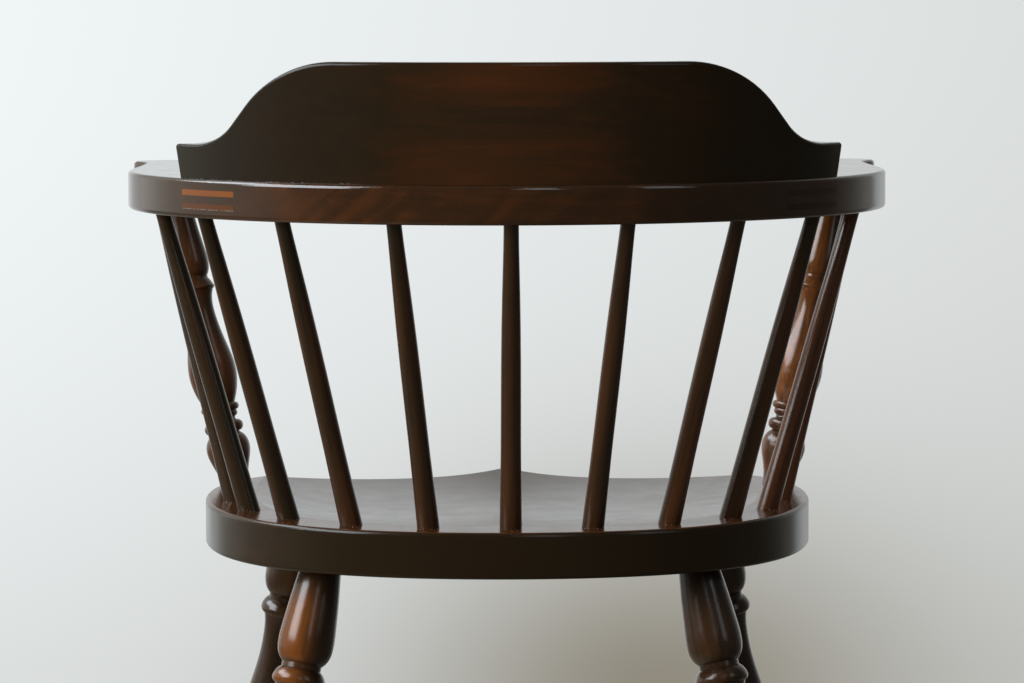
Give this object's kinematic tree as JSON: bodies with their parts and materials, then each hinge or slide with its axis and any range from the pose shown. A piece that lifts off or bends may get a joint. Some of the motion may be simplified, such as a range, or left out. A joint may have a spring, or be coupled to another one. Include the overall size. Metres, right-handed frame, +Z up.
{
  "type": "captains chair",
  "caption": "Low-backed wooden captains chair: dished seat on splayed turned legs, spindles and posts under a curved arm bow, and a shaped crest rail.",
  "frame": {"origin": "on the floor, under the middle of the chair's overall box", "axes": "+Z is up; the chair faces -Y; +X is the sitter's left"},
  "size_m": [0.626, 0.508, 0.7833],
  "materials": {
    "bow_wood": "walnut-stained hardwood under a glossy lacquer",
    "seat_wood": "walnut-stained hardwood under a glossy lacquer, rubbed on the rim",
    "turned_wood": "turned hardwood, walnut-stained and lacquered, redder on its high places",
    "pale_tongue_wood": "lacquered hardwood that took less stain",
    "dark_tongue_wood": "stained and lacquered hardwood",
    "dowel_wood": "bare birch dowel, glued in"
  },
  "bodies": {
    "root": {"arm_back": "bow_wood", "arm_left": "bow_wood", "arm_right": "bow_wood", "crest": "bow_wood", "crest_dowels": "dowel_wood", "leg_front_left": "turned_wood", "leg_front_right": "turned_wood", "leg_rear_left": "turned_wood", "leg_rear_right": "turned_wood", "post_left": "turned_wood", "post_right": "turned_wood", "seat": "seat_wood", "spindle_centre": "turned_wood", "spindle_left_1": "turned_wood", "spindle_left_2": "turned_wood", "spindle_left_3": "turned_wood", "spindle_left_4": "turned_wood", "spindle_left_5": "turned_wood", "spindle_right_1": "turned_wood", "spindle_right_2": "turned_wood", "spindle_right_3": "turned_wood", "spindle_right_4": "turned_wood", "spindle_right_5": "turned_wood", "stretcher_cross": "turned_wood", "stretcher_left": "turned_wood", "stretcher_right": "turned_wood", "tongue_left_lower": "pale_tongue_wood", "tongue_left_upper": "pale_tongue_wood", "tongue_right_lower": "dark_tongue_wood", "tongue_right_upper": "dark_tongue_wood"}
  },
  "joints": []
}
